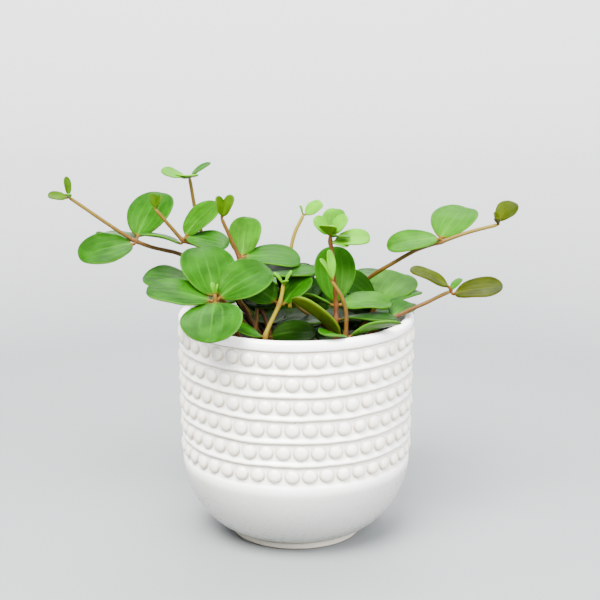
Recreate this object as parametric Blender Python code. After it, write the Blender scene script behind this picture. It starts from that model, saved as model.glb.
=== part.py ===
"""Potted peperomia: whorls of round, fleshy leaves on thin trailing stems, in a plastic nursery pot that
stands inside a beaded ceramic cover pot. Metres, +Z up. The origin is the centre of the foot's underside,
+X is to the right and -Y is the front. Run with: blender --background --python part.py
"""

import math
from collections import namedtuple

import bmesh
import bpy
from mathutils import Vector

MM = 0.001
GAP = 0.3 * MM  # between pieces that touch

# --- cover pot
POT_RADIUS = 60.0 * MM  # outside, at the rim
POT_HEIGHT = 116.0 * MM
POT_WALL = 5.0 * MM
LIP_HEIGHT = 5.2 * MM  # the plain band above the first row of beads
BODY_TAPER = 1.4 * MM  # how much narrower the wall is at the lowest row than at the rim
FOOT_RADIUS = 33.5 * MM
FOOT_HEIGHT = 3.6 * MM
FLOOR_THICKNESS = 3.4 * MM  # over the solid foot
BOWL_BASE_RADIUS = 31.5 * MM  # where the rounded bowl meets the foot
BOWL_ROUNDNESS = 1.75  # exponent of the bowl's outline: 2 is an ellipse, 1 a cone

# --- beads on the cover pot
BEAD_ROWS = 6
BEADS_PER_ROW = 42
BAND_PITCH = 11.7 * MM
BEAD_RADIUS = 3.7 * MM
BEAD_HEIGHT = 1.9 * MM
BAND_RECESS = 1.3 * MM  # the wall behind the beads lies this far in
RIDGE_HEIGHT = 2.6 * MM  # the raised ring under each row
BEAD_PHASE = 0.79  # turns the first row on from +X, in beads; every second row is half a bead further on

# --- nursery pot and soil
NURSERY_WALL = 1.2 * MM
NURSERY_BASE_CLEARANCE = 5.0 * MM  # from its base to the cover pot's wall
NURSERY_LIP = 1.6 * MM  # how far its rim stands out
NURSERY_LIP_HEIGHT = 5.0 * MM
NURSERY_SIDE_CLEARANCE = 2.0 * MM  # from its rim to the cover pot's wall
NURSERY_BELOW_RIM = 12.0 * MM
DRAIN_HOLES = 5
DRAIN_RADIUS = 3.5 * MM
DRAIN_CIRCLE = 21.0 * MM  # the radius they lie on
SOIL_BELOW_NURSERY_RIM = 6.0 * MM
ROUND_SIDES = 32  # of the nursery pot and the soil

# --- plant
STEM_RADIUS = 1.25 * MM  # at the soil
STEM_TAPER = 0.32  # share of the radius lost by the free end
NODE_SWELLING = 1.25  # a stem is this much thicker where leaves leave it
ROOT_DEPTH = 8.0 * MM
SOCKET_CLEARANCE = 0.5 * MM
RING_SPACING = 6.0 * MM
STEM_SIDES = 6
LEAF_THICKNESS = 1.3 * MM
PETIOLE_RADIUS = 0.75 * MM
PETIOLE_SHARE = 0.15  # of the blade's length
LEAF_CAMBER = 0.05  # rise of the midrib over its chord, as a share of the leaf's length
LEAF_CUP = 0.10  # rise of the edges, as a share of the half width
OUTLINE_POWER = 2.25  # 2 draws an elliptic blade, more a squarer one
BLADE_RINGS = (0.07, 0.27, 0.5, 0.73, 0.92)  # cross-sections, as shares of the blade's length
# Points round a cross-section: share of the half width to the left, share of the half thickness upwards.
BLADE_SECTION = ((1, 0), (0.55, 0.9), (0, 1), (-0.55, 0.9), (-1, 0), (-0.55, -0.9), (0, -1), (0.55, -0.9))
STALK_END = 0.75  # the share of the stalk that stays round, before it widens into the blade

# The plant is drawn for this mouth, and grows with the pot that it fills.
DRAWN_FOR_MOUTH = 55.0 * MM
MOUTH_RADIUS = POT_RADIUS - POT_WALL
PLANT_UNIT = MM * MOUTH_RADIUS / DRAWN_FOR_MOUTH

# A leaf leaves its stem at point number `at` of the stem's list, counted from 1. `bearing` is where it
# points, in degrees round from +X to +Y, `rise` its slope, and `roll` its turn about its own length, with
# its left edge going up.
Leaf = namedtuple("Leaf", "name at bearing rise roll length width")
# A stem leaves the soil at `root` (x, y), and goes through `points` (x, y, height above the pot's rim).
Stem = namedtuple("Stem", "name root points leaves")

STEMS = [
    Stem("left_long", (-20, 6), [(-36, 8, 2), (-50, 8, 12), (-57, 11, 26), (-82, 12, 34), (-116, 12, 57)], [
        Leaf("a", 4, 206, -7, -30, 26, 22),
        Leaf("b", 4, 140, 2, 6, 22, 20),
        Leaf("c", 4, 60, 42, 8, 27, 24),
        Leaf("d", 2, 172, 10, -16, 24, 22),
    ]),
    Stem("left_mid", (-16, -2), [(-34, 2, 13), (-49, 4, 33), (-57, 4, 36), (-71, 1, 53)], [
        Leaf("a", 3, 180, 14, 8, 19, 14),
        Leaf("b", 3, 33, 40, 12, 22, 18),
        Leaf("c", 3, 345, -8, 14, 20, 20),
    ]),
    Stem("left_back", (-18, 20), [(-38, 25, 13), (-50, 26, 38), (-55, 25, 65)], [
        Leaf("a", 3, 204, 16, -14, 12, 13),
    ]),
    Stem("left_upright", (-10, -24), [(-15, -19, 0), (-22, -15, 16), (-28, -12, 30), (-37, -12, 51)], [
        Leaf("a", 3, 80, 52, 0, 20, 17),
        Leaf("b", 3, 0, -3, 17, 25, 22),
    ]),
    Stem("front_left", (-26, -20), [(-31, -28, 0), (-39, -38, 15), (-39, -38, 19)], [
        Leaf("a", 2, 108, 40, 0, 28, 28),
        Leaf("b", 2, 24, 26, 26, 26, 26),
        Leaf("c", 2, 268, -21, 4, 28, 30),
        Leaf("d", 2, 182, 9, -16, 28, 24),
    ]),
    Stem("centre_low", (-22, -28), [(-20, -25, -3), (-19, -22, 9), (-18, -16, 23)], [
        Leaf("a", 3, 62, 10, 12, 22, 20),
        Leaf("b", 3, 350, 5, 8, 23, 18),
    ]),
    Stem("front_bud", (-14, -33), [(-15, -35, -4), (-8, -32, 12), (-6, -30, 22)], [
        Leaf("a", 2, 152, 26, -30, 17, 17),
        Leaf("b", 2, 30, 40, 14, 17, 14),
        Leaf("c", 1, 10, 4, 36, 20, 15),
        Leaf("d", 1, 207, 22, -18, 14, 12),
    ]),
    Stem("centre_leaning", (20, -6), [(16, -9, -6), (3, -12, 4), (-3, -12, 10)], []),
    Stem("back_bud", (-2, 26), [(-4, 33, 5), (-2, 35, 29), (4, 38, 43)], [
        Leaf("a", 1, 150, 12, 6, 22, 20),
    ]),
    Stem("front_arching", (20, -33), [(24, -42, -2), (24, -42, 12), (22, -42, 18), (17, -42, 26)], [
        Leaf("a", 1, 189, 41, 26, 27, 15),
        Leaf("b", 1, 236, 18, -6, 16, 13),
        Leaf("c", 1, 352, 19, -26, 23, 14),
    ]),
    Stem("front_upright", (20, -18), [(20, -17, 0), (20, -15, 7), (18, -15, 34), (17, -15, 39), (17, -15, 43)], [
        Leaf("a", 2, 93, 58, 0, 27, 21),
        Leaf("b", 1, 196, -4, 0, 17, 14),
        Leaf("c", 2, 8, 0, 12, 23, 19),
        Leaf("d", 2, 176, 14, 22, 17, 12),
        Leaf("e", 1, 340, 5, -2, 26, 16),
        Leaf("f", 5, 76, 46, 0, 13, 12),
        Leaf("g", 4, 356, 8, 24, 16, 14),
    ]),
    Stem("right_long", (16, 18), [(27, 20, 2), (38, 16, 14), (49, 12, 22), (62, 10, 30), (74, 10, 34),
                                  (88, 10, 39), (103, 10, 43)], [
        Leaf("a", 5, 187, -7, -26, 24, 17),
        Leaf("b", 5, 52, 30, 6, 24, 25),
        Leaf("c", 7, 28, 40, 20, 12, 12),
    ]),
    Stem("right_low", (28, -14), [(38, -18, -6), (48, -18, 1), (54, -18, 4), (77, -18, 15)], [
        Leaf("a", 4, 178, 26, -14, 19, 12),
        Leaf("b", 4, 348, 11, 26, 22, 16),
        Leaf("c", 2, 52, 14, 6, 15, 14),
    ]),
    Stem("right_inner", (28, 2), [(36, 5, -6), (42, 5, 3)], [
        Leaf("a", 2, 58, 20, 12, 25, 25),
        Leaf("b", 2, 165, 32, -28, 22, 18),
    ]),
    Stem("trailing_back_left", (-10, 30), [(-22, 44, 2), (-32, 56, 7), (-40, 68, -6)], [
        Leaf("a", 2, 175, 6, 0, 24, 22),
    ]),
    Stem("trailing_back_right", (12, 28), [(20, 42, -2), (27, 58, 5), (33, 70, -6)], [
        Leaf("a", 2, 15, -5, 0, 24, 22),
    ]),
]


# Leaves that aren't the full green yet, and the brownish ones at the ends of the right-hand stems.
YOUNG_LEAVES = ("left_back_a", "left_upright_a", "front_upright_b", "front_upright_f", "front_upright_g")
OLIVE_LEAVES = ("right_long_c", "right_low_a", "right_low_b")


def clear_scene():
    for thing in list(bpy.data.objects):
        bpy.data.objects.remove(thing)


def material(name, colour, roughness, metallic=0.0):
    made = bpy.data.materials.get(name) or bpy.data.materials.new(name)
    made.use_nodes = True
    shader = made.node_tree.nodes["Principled BSDF"]
    shader.inputs["Base Color"].default_value = (*colour, 1.0)
    shader.inputs["Roughness"].default_value = roughness
    shader.inputs["Metallic"].default_value = metallic
    made.diffuse_color = (*colour, 1.0)
    return made


def object_from(bm, name, mat):
    """Turns a bmesh into a named, smooth-shaded object whose faces point outwards."""
    bmesh.ops.recalc_face_normals(bm, faces=bm.faces)
    mesh = bpy.data.meshes.new(name)
    bm.to_mesh(mesh)
    bm.free()
    made = bpy.data.objects.new(name, mesh)
    bpy.context.scene.collection.objects.link(made)
    mesh.materials.append(mat)
    mesh.shade_smooth()
    mesh.set_sharp_from_angle(angle=math.radians(40))
    return made


def cut(target, cutter):
    """Takes cutter out of target, and keeps it as a wire guide that isn't part of the model."""
    cutter.hide_render = True
    cutter.display_type = "WIRE"
    boolean = target.modifiers.new("cut " + cutter.name, "BOOLEAN")
    boolean.operation = "DIFFERENCE"
    boolean.solver = "EXACT"
    boolean.object = cutter


def ring(bm, radius, z, count, phase=0.0):
    """A level circle of vertices. phase is in steps of the circle's own spacing."""
    step = 2 * math.pi / count
    return [
        bm.verts.new((radius * math.cos((k + phase) * step), radius * math.sin((k + phase) * step), z))
        for k in range(count)
    ]


def bridge(bm, first, second):
    count = len(first)
    for k in range(count):
        bm.faces.new((first[k], first[(k + 1) % count], second[(k + 1) % count], second[k]))


def bridge_staggered(bm, first, second):
    """Joins two circles where the second is turned half a step on from the first."""
    count = len(first)
    for k in range(count):
        after = (k + 1) % count
        bm.faces.new((first[k], first[after], second[k]))
        bm.faces.new((first[after], second[after], second[k]))


def turned_piece(name, outline, count, mat):
    """A solid of revolution from (radius, z) points, its two ends closed by discs."""
    bm = bmesh.new()
    rings = [ring(bm, radius, z, count) for radius, z in outline]
    for first, second in zip(rings, rings[1:]):
        bridge(bm, first, second)
    bm.faces.new(rings[0])
    bm.faces.new(rings[-1])
    return object_from(bm, name, mat)


# --- cover pot ---------------------------------------------------------------------------------------


def band_top(row):
    """Height of the groove above a row of beads. Row BEAD_ROWS is the lower end of the last row."""
    return POT_HEIGHT - LIP_HEIGHT - row * BAND_PITCH


def wall_radius(z):
    """Outside of the pot at height z: a gentle taper over the beads, and a rounded bowl below them."""
    bowl_top = band_top(BEAD_ROWS)
    if z >= bowl_top:
        return POT_RADIUS - BODY_TAPER * (POT_HEIGHT - z) / (POT_HEIGHT - bowl_top)
    down = (bowl_top - z) / (bowl_top - FOOT_HEIGHT)
    widest = POT_RADIUS - BODY_TAPER
    spread = (1 - down**BOWL_ROUNDNESS) ** (1 / BOWL_ROUNDNESS)
    return BOWL_BASE_RADIUS + (widest - BOWL_BASE_RADIUS) * spread


def cavity_radius(z):
    """Inside of the pot at height z."""
    return wall_radius(max(z, FLOOR_THICKNESS + FOOT_HEIGHT)) - POT_WALL


def bead_cell(bm, upper, lower, centre_angle, centre_z, base_radius):
    """One bead and the wall round it: a flat-topped octagonal dome inside the cell between two rings.
    upper and lower are the cell's (left, right) corners."""

    def point(across, up, out):
        angle = centre_angle + across / base_radius
        radius = base_radius + out
        return bm.verts.new((radius * math.cos(angle), radius * math.sin(angle), centre_z + up))

    def circle(count, turn, radius, out):
        angles = [math.radians(turn + k * 360 / count) for k in range(count)]
        return [point(radius * math.cos(a), radius * math.sin(a), out) for a in angles]

    corners = [upper[1], upper[0], lower[0], lower[1]]  # counter-clockwise from +across, +up
    foot = circle(8, 22.5, BEAD_RADIUS, 0)
    crown = circle(4, 45, 0.62 * BEAD_RADIUS, BEAD_HEIGHT)
    for side in range(4):
        near, far = foot[2 * side], foot[2 * side + 1]
        following = foot[(2 * side + 2) % 8]
        after = (side + 1) % 4
        bm.faces.new((corners[side], far, near))
        bm.faces.new((corners[side], corners[after], following, far))
        bm.faces.new((near, far, crown[side]))
        bm.faces.new((far, following, crown[after], crown[side]))
    bm.faces.new(crown)


def beaded_band(bm, row):
    """The recessed ring of one row of beads. Gives its top and bottom circles."""
    phase = BEAD_PHASE + 0.5 * (row % 2)
    top_z = band_top(row) - 0.2 * MM
    bottom_z = band_top(row + 1) + RIDGE_HEIGHT
    middle_z = (top_z + bottom_z) / 2
    radius = wall_radius(middle_z) - BAND_RECESS
    upper = ring(bm, radius, top_z, BEADS_PER_ROW, phase - 0.5)
    lower = ring(bm, radius, bottom_z, BEADS_PER_ROW, phase - 0.5)
    for k in range(BEADS_PER_ROW):
        after = (k + 1) % BEADS_PER_ROW
        angle = (k + phase) * 2 * math.pi / BEADS_PER_ROW
        bead_cell(bm, (upper[k], upper[after]), (lower[k], lower[after]), angle, middle_z, radius)
    return upper, lower


def build_cover_pot(mat):
    bm = bmesh.new()
    count = BEADS_PER_ROW
    phase = BEAD_PHASE - 0.5
    floor_z = FOOT_HEIGHT + FLOOR_THICKNESS
    bowl_top = band_top(BEAD_ROWS)

    def circle(radius, z):
        return ring(bm, radius, z, count, phase)

    # from the middle of the floor up the inside, over the lip
    inner_heights = [floor_z + share * (bowl_top - floor_z) for share in (0.0, 0.2, 0.55, 1.0)]
    inside = [circle(cavity_radius(z), z) for z in inner_heights]
    inside.append(circle(MOUTH_RADIUS, POT_HEIGHT - 0.5 * POT_WALL))
    lip = [
        circle(POT_RADIUS - 0.78 * POT_WALL, POT_HEIGHT - 0.12 * POT_WALL),
        circle(POT_RADIUS - 0.5 * POT_WALL, POT_HEIGHT),
        circle(POT_RADIUS - 0.18 * POT_WALL, POT_HEIGHT - 0.16 * POT_WALL),
        circle(POT_RADIUS, POT_HEIGHT - 0.5 * POT_WALL),
        circle(wall_radius(band_top(0)) - 0.2 * MM, band_top(0)),
    ]
    rings = inside + lip
    for first, second in zip(rings, rings[1:]):
        bridge(bm, first, second)
    bm.faces.new(inside[0])

    # down the beaded wall: each row starts in a groove, and ends on a raised ring
    above = lip[-1]
    for row in range(BEAD_ROWS):
        upper, lower = beaded_band(bm, row)
        if row == 0:
            bridge(bm, above, upper)
        elif row % 2:
            bridge_staggered(bm, above, upper)
        else:
            bridge_staggered(bm, upper, above)
        row_phase = BEAD_PHASE + 0.5 * (row % 2) - 0.5
        if row == BEAD_ROWS - 1:
            above = lower
            break
        ridge_top = band_top(row + 1) + 0.75 * RIDGE_HEIGHT
        ridge_low = band_top(row + 1)
        ridge = [
            ring(bm, wall_radius(ridge_top), ridge_top, count, row_phase),
            ring(bm, wall_radius(ridge_low), ridge_low, count, row_phase),
        ]
        bridge(bm, lower, ridge[0])
        bridge(bm, ridge[0], ridge[1])
        above = ridge[1]

    # the rounded bowl and the flat-bottomed foot
    last_phase = BEAD_PHASE + 0.5 * ((BEAD_ROWS - 1) % 2) - 0.5
    outline = []
    for share in (0.0, 0.3, 0.55, 0.75, 0.9, 1.0):
        z = bowl_top - share * (bowl_top - FOOT_HEIGHT)
        outline.append((wall_radius(z), z))
    outline += [
        (FOOT_RADIUS - 0.4 * MM, FOOT_HEIGHT - 0.3 * MM),
        (FOOT_RADIUS, 0.4 * MM),
        (FOOT_RADIUS - 0.4 * MM, 0.0),
    ]
    for radius, z in outline:
        below = ring(bm, radius, z, count, last_phase)
        bridge(bm, above, below)
        above = below
    bm.faces.new(above)
    return object_from(bm, "cover_pot", mat)


# --- nursery pot and soil ----------------------------------------------------------------------------


def nursery_heights():
    """Underside, rim and soil surface of what stands in the cover pot."""
    base = FOOT_HEIGHT + FLOOR_THICKNESS + GAP
    rim = POT_HEIGHT - NURSERY_BELOW_RIM
    return base, rim, rim - SOIL_BELOW_NURSERY_RIM


def nursery_radius(z):
    """Outside of the nursery pot's wall, under its lip. The pot leans out evenly from its base."""
    base, rim, _ = nursery_heights()
    lip_radius = cavity_radius(rim) - NURSERY_SIDE_CLEARANCE
    base_radius = cavity_radius(base) - NURSERY_BASE_CLEARANCE
    share = (z - base) / (rim - base)
    return base_radius + (lip_radius - NURSERY_LIP - base_radius) * share


def build_nursery_pot(mat):
    base, rim, _ = nursery_heights()
    lip_low = rim - NURSERY_LIP_HEIGHT
    floor = base + 1.2 * NURSERY_WALL
    outline = [
        (nursery_radius(floor) - NURSERY_WALL, floor),
        (nursery_radius(rim) - NURSERY_WALL, rim),
        (nursery_radius(rim) + NURSERY_LIP, rim),
        (nursery_radius(rim) + NURSERY_LIP, lip_low),
        (nursery_radius(lip_low), lip_low),
        (nursery_radius(base + 2 * MM), base + 2 * MM),
        (nursery_radius(base) - 1.2 * MM, base),
    ]
    pot = turned_piece("nursery_pot", outline, ROUND_SIDES, mat)
    drain_outline = [(DRAIN_RADIUS, base - 2 * MM), (DRAIN_RADIUS, floor + 2 * MM)]
    for k in range(DRAIN_HOLES):
        angle = 2 * math.pi * (k + 0.5) / DRAIN_HOLES
        drain = turned_piece(f"drain_{k}", drain_outline, 10, mat)
        drain.location = (DRAIN_CIRCLE * math.cos(angle), DRAIN_CIRCLE * math.sin(angle), 0)
        cut(pot, drain)
    return pot


def build_soil(mat):
    """The root ball: it fills the nursery pot, with a low crown and a socket for each stem."""
    base, _, surface = nursery_heights()
    floor = base + 1.2 * NURSERY_WALL + GAP
    inside = GAP + NURSERY_WALL
    shoulder = surface - 2 * MM
    outline = [
        (nursery_radius(floor) - inside, floor),
        (nursery_radius(shoulder) - inside, shoulder),
        (0.85 * nursery_radius(surface), surface),
    ]
    soil = turned_piece("potting_soil", outline, ROUND_SIDES, mat)
    socket_radius = STEM_RADIUS + SOCKET_CLEARANCE
    socket_outline = [(socket_radius, surface - ROOT_DEPTH - GAP), (socket_radius, surface + 2 * MM)]
    for stem in STEMS:
        x, y = (value * PLANT_UNIT for value in stem.root)
        socket = turned_piece(f"socket_{stem.name}", socket_outline, STEM_SIDES, mat)
        socket.location = (x, y, 0)
        cut(soil, socket)
    return soil


# --- plant -------------------------------------------------------------------------------------------


def stem_points(stem):
    """The stem's own points in metres: the foot of its socket, the soil surface, then those it is given."""
    _, _, surface = nursery_heights()
    x, y = (value * PLANT_UNIT for value in stem.root)
    above_rim = [Vector(p) * PLANT_UNIT + Vector((0, 0, POT_HEIGHT)) for p in stem.points]
    return [Vector((x, y, surface - ROOT_DEPTH)), Vector((x, y, surface + 1 * MM)), *above_rim]


def smooth_path(points, spacing):
    """A Catmull-Rom curve through the points, and the place of each of them in it."""
    ends = [2 * points[0] - points[1], *points, 2 * points[-1] - points[-2]]
    path, places = [points[0]], [0]
    for k in range(1, len(points)):
        before, start, finish, after = ends[k - 1 : k + 3]
        steps = max(1, round((finish - start).length / spacing))
        for step in range(1, steps + 1):
            t = step / steps
            path.append(
                0.5 * (
                    2 * start
                    + (finish - before) * t
                    + (2 * before - 5 * start + 4 * finish - after) * t**2
                    + (3 * start - before - 3 * finish + after) * t**3
                )
            )
        places.append(len(path) - 1)
    return path, places


def stem_radius(stem, place, places, last):
    """Thinner towards the free end, and swollen where leaves leave it."""
    nodes = [places[leaf.at + 1] for leaf in stem.leaves]
    swelling = NODE_SWELLING if place in nodes and place > 0 else 1.0
    return STEM_RADIUS * (1 - STEM_TAPER * place / last) * swelling


def tangent(path, place):
    return (path[min(place + 1, len(path) - 1)] - path[max(place - 1, 0)]).normalized()


def build_stem(stem, mat):
    path, places = smooth_path(stem_points(stem), RING_SPACING)
    bm = bmesh.new()
    side = Vector((1, 0, 0))
    rings = []
    for place, centre in enumerate(path):
        along = tangent(path, place)
        side = (side - along * side.dot(along)).normalized()
        other = along.cross(side)
        radius = stem_radius(stem, place, places, len(path) - 1)
        turns = [2 * math.pi * k / STEM_SIDES for k in range(STEM_SIDES)]
        outwards = [math.cos(turn) * side + math.sin(turn) * other for turn in turns]
        rings.append([bm.verts.new(centre + radius * direction) for direction in outwards])
    for first, second in zip(rings, rings[1:]):
        bridge(bm, first, second)
    bm.faces.new(rings[0])
    bm.faces.new(rings[-1])
    return object_from(bm, f"stem_{stem.name}", mat)


def leaf_axes(leaf):
    """Unit vectors along the leaf, to its left and out of its upper face."""
    bearing, rise, roll = (math.radians(value) for value in (leaf.bearing, leaf.rise, leaf.roll))
    level = Vector((math.cos(bearing), math.sin(bearing), 0))
    along = level * math.cos(rise) + Vector((0, 0, math.sin(rise)))
    left = Vector((-math.sin(bearing), math.cos(bearing), 0))
    upward = along.cross(left)
    left, upward = (
        left * math.cos(roll) + upward * math.sin(roll),
        upward * math.cos(roll) - left * math.sin(roll),
    )
    return along, left, upward


def leaf_start(stem, leaf, along):
    """Where the leaf stalk begins: just clear of its stem's surface."""
    path, places = smooth_path(stem_points(stem), RING_SPACING)
    place = places[leaf.at + 1]
    direction = tangent(path, place)
    outwards = (along - direction * along.dot(direction)).normalized()
    tilt = abs(along.dot(direction))
    radius = stem_radius(stem, place, places, len(path) - 1)
    return path[place] + outwards * (radius + GAP + PETIOLE_RADIUS * tilt)


def blade_half_width(share):
    """Half width of a blade of width 1 at this share of its length: a rounded outline."""
    return 0.5 * (1 - abs(2 * share - 1) ** OUTLINE_POWER) ** (1 / OUTLINE_POWER)


def leaf_skin(name):
    if name in YOUNG_LEAVES:
        return material("young leaf skin", (0.36, 0.56, 0.08), 0.4)
    if name in OLIVE_LEAVES:
        return material("olive leaf skin", (0.30, 0.28, 0.06), 0.45)
    return material("leaf skin", (0.16, 0.42, 0.07), 0.4)


def build_leaf(stem, leaf):
    """A stalk and a thick blade in one closed skin: rings of eight points from the stem to the tip."""
    along, left, upward = leaf_axes(leaf)
    start = leaf_start(stem, leaf, along)
    length, width = leaf.length * PLANT_UNIT, leaf.width * PLANT_UNIT
    stalk = PETIOLE_SHARE * length
    total = stalk + length
    bm = bmesh.new()

    def place(x, y, z):
        share = x / total
        arch = LEAF_CAMBER * total * 4 * share * (1 - share)
        return bm.verts.new(start + x * along + y * left + (z + arch) * upward)

    def stalk_ring(x):
        turns = [math.pi - k * math.pi / 4 for k in range(8)]
        return [place(x, -PETIOLE_RADIUS * math.cos(a), PETIOLE_RADIUS * math.sin(a)) for a in turns]

    def blade_ring(share):
        half = width * blade_half_width(share)
        thick = 0.5 * LEAF_THICKNESS
        made = []
        for across, up in BLADE_SECTION:
            cup = LEAF_CUP * half * across**2
            made.append(place(stalk + share * length, across * half, up * thick + cup))
        return made

    rings = [stalk_ring(0.0), stalk_ring(STALK_END * stalk)]
    rings += [blade_ring(share) for share in BLADE_RINGS]
    for first, second in zip(rings, rings[1:]):
        bridge(bm, first, second)
    bm.faces.new(rings[0])
    tip = place(total, 0, 0)
    for k in range(8):
        bm.faces.new((rings[-1][k], rings[-1][(k + 1) % 8], tip))
    name = f"{stem.name}_{leaf.name}"
    return object_from(bm, f"leaf_{name}", leaf_skin(name))


def main():
    clear_scene()
    glaze = material("cream glaze", (0.83, 0.80, 0.73), 0.42)
    plastic = material("black plastic", (0.03, 0.03, 0.03), 0.55)
    peat = material("potting soil", (0.06, 0.04, 0.03), 0.95)
    stalk = material("stem skin", (0.42, 0.20, 0.09), 0.5)
    build_cover_pot(glaze)
    build_nursery_pot(plastic)
    build_soil(peat)
    for stem in STEMS:
        build_stem(stem, stalk)
        for leaf in stem.leaves:
            build_leaf(stem, leaf)


main()
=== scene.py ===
"""Looks of the potted peperomia: leaves with veins and thick rims, stems with swollen nodes, a
glazed pot with round beads, soil, and the studio round them. Each stem and each large leaf is
measured from its CAD node and built again in detail in the same place. Small tip leaves, buds and
hidden leaves grow on the same stems.
"""

import math
import random

import bmesh
import bpy
import numpy as np
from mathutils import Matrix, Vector, noise


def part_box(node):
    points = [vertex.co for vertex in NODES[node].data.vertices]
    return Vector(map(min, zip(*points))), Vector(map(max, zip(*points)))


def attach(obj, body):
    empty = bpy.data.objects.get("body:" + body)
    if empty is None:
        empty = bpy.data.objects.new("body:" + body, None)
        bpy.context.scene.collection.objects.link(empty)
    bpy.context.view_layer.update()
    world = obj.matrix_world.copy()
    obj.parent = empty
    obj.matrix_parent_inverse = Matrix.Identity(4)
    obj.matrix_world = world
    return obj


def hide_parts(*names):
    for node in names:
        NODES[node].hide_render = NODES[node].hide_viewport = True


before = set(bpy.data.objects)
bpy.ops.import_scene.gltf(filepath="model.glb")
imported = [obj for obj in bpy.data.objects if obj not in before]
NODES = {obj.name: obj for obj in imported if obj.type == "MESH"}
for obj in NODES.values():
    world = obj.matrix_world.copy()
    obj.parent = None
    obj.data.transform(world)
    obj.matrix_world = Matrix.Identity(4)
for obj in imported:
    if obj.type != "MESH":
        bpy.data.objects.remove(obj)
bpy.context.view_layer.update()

MM = 0.001

# --- leaves, first as the CAD draws them. STALK and BLADE_MIDDLE are shares of the whole length.
STALK = 0.15 / 1.15
BLADE_MIDDLE = STALK + 0.5 * (1 - STALK)
STALK_RADIUS = 0.75 * MM
STALK_SIDES = 8
BLADE_HALF_THICKNESS = 0.62 * MM
CAMBER = 0.05
OUTLINE_POWER = 2.25
BARE_STALK = 0.3  # the share of the stalk that shows: the blade narrows down along the rest
FULL_GROWN = 22 * MM  # leaves shorter than this are thinner and flatter too
MIDRIB_WIDTH = 0.75 * MM
VEIN_WIDTH = 0.9 * MM
VEIN_DEPTH = 0.16 * MM
BUCKLE_HEIGHT = 0.45 * MM  # soft, wide dents in a blade
BUCKLE_SCALE = 90

# --- stems
RING_GAP = 1.9 * MM  # points of a CAD stem closer than this belong to the same ring
LINE_STEP = 1.0 * MM
STEM_RING_STEP = 1.1 * MM
STEM_SIDES = 14
STEM_TAPER = 0.72  # a stem's end against its root
KNUCKLE_SEEN = 0.08  # a CAD ring fatter than its neighbours by more than this share is a knuckle
KNUCKLE_SWELL = 0.38
KNUCKLE_LENGTH = 1.9 * MM

# --- cover pot
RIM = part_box("cover_pot")[1].z
POT_RADIUS = 60.0 * MM
POT_WALL = 5.0 * MM
LIP_HEIGHT = 5.2 * MM
LIP_ROUNDNESS = 0.42  # height of the rounded lip against the wall's thickness
BODY_TAPER = 1.4 * MM
FOOT_RADIUS = 33.5 * MM
FOOT_HEIGHT = 3.6 * MM
FLOOR_Z = 7.0 * MM
BOWL_BASE_RADIUS = 31.5 * MM
BOWL_ROUNDNESS = 1.75
BEAD_ROWS = 6
BEADS_PER_ROW = 42
BAND_PITCH = 11.7 * MM
BEAD_RADIUS = 3.8 * MM
BEAD_HEIGHT = 2.15 * MM
BEAD_FLATTENING = 0.94  # a bead's height on the wall against its width
BEAD_CIRCLES = (1.10, 1.0, 0.975, 0.92, 0.82, 0.66, 0.46, 0.24)  # shares of a bead's radius
BAND_RECESS = 1.3 * MM
BAND_HEAD = 0.6 * MM  # from the groove down to the top of the beads' band
BAND_FOOT = 3.1 * MM  # from the bottom of the beads' band down to the next groove
BEAD_PHASE = 0.79  # where a row's first bead sits, as a share of the step between beads
CELL_SIDE = 6  # mesh faces along each side of a bead's cell
INSIDE_STEPS = 12
LIP_STEPS = 12
BOWL_STEPS = 30
COLUMNS = BEADS_PER_ROW * CELL_SIDE

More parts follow.
